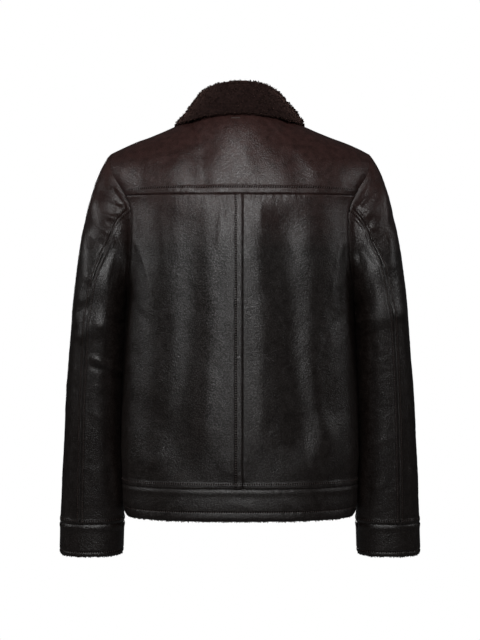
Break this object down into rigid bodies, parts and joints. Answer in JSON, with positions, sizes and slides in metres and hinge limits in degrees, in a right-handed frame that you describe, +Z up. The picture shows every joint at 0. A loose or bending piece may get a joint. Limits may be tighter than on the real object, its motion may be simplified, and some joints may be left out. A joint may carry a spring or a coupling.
{
  "type": "leather jacket",
  "caption": "Short worn-shape leather jacket with a wool pile turned-down collar, back yoke, hem band, two-piece sleeves with cuff bands and a closed front zip.",
  "frame": {"origin": "middle of the neck opening, level with the back neck seam", "axes": "+X to the wearer's left, +Y to the wearer's back, +Z up"},
  "size_m": [0.6058, 0.2809, 0.7827],
  "materials": {
    "leather": "semi-gloss dark brown, fine grain",
    "pile": "clipped wool pile, dark brown",
    "zip_tape": "woven, matt",
    "zip_metal": "dark satin metal"
  },
  "bodies": {
    "jacket": {"back_left": "leather", "back_right": "leather", "back_yoke": "leather", "front_left": "leather", "front_right": "leather", "hem_back": "leather", "hem_front_left": "leather", "hem_front_right": "leather", "sleeve_upper_left": "leather", "sleeve_upper_right": "leather", "sleeve_under_left": "leather", "sleeve_under_right": "leather", "cuff_left": "leather", "cuff_right": "leather", "collar": "pile", "zip_tape_left": "zip_tape", "zip_tape_right": "zip_tape", "zip_chain": "zip_metal", "zip_box": "zip_metal", "zip_slider": "zip_metal"},
    "pull": {"zip_pull": "zip_metal"}
  },
  "joints": [
    {"name": "zip_pull_swing", "type": "hinge", "parent": "jacket", "child": "pull", "pos_m": [0, -0.10792, -0.08618], "axis": [-1, 0, 0], "range_deg": [0, 160]}
  ]
}
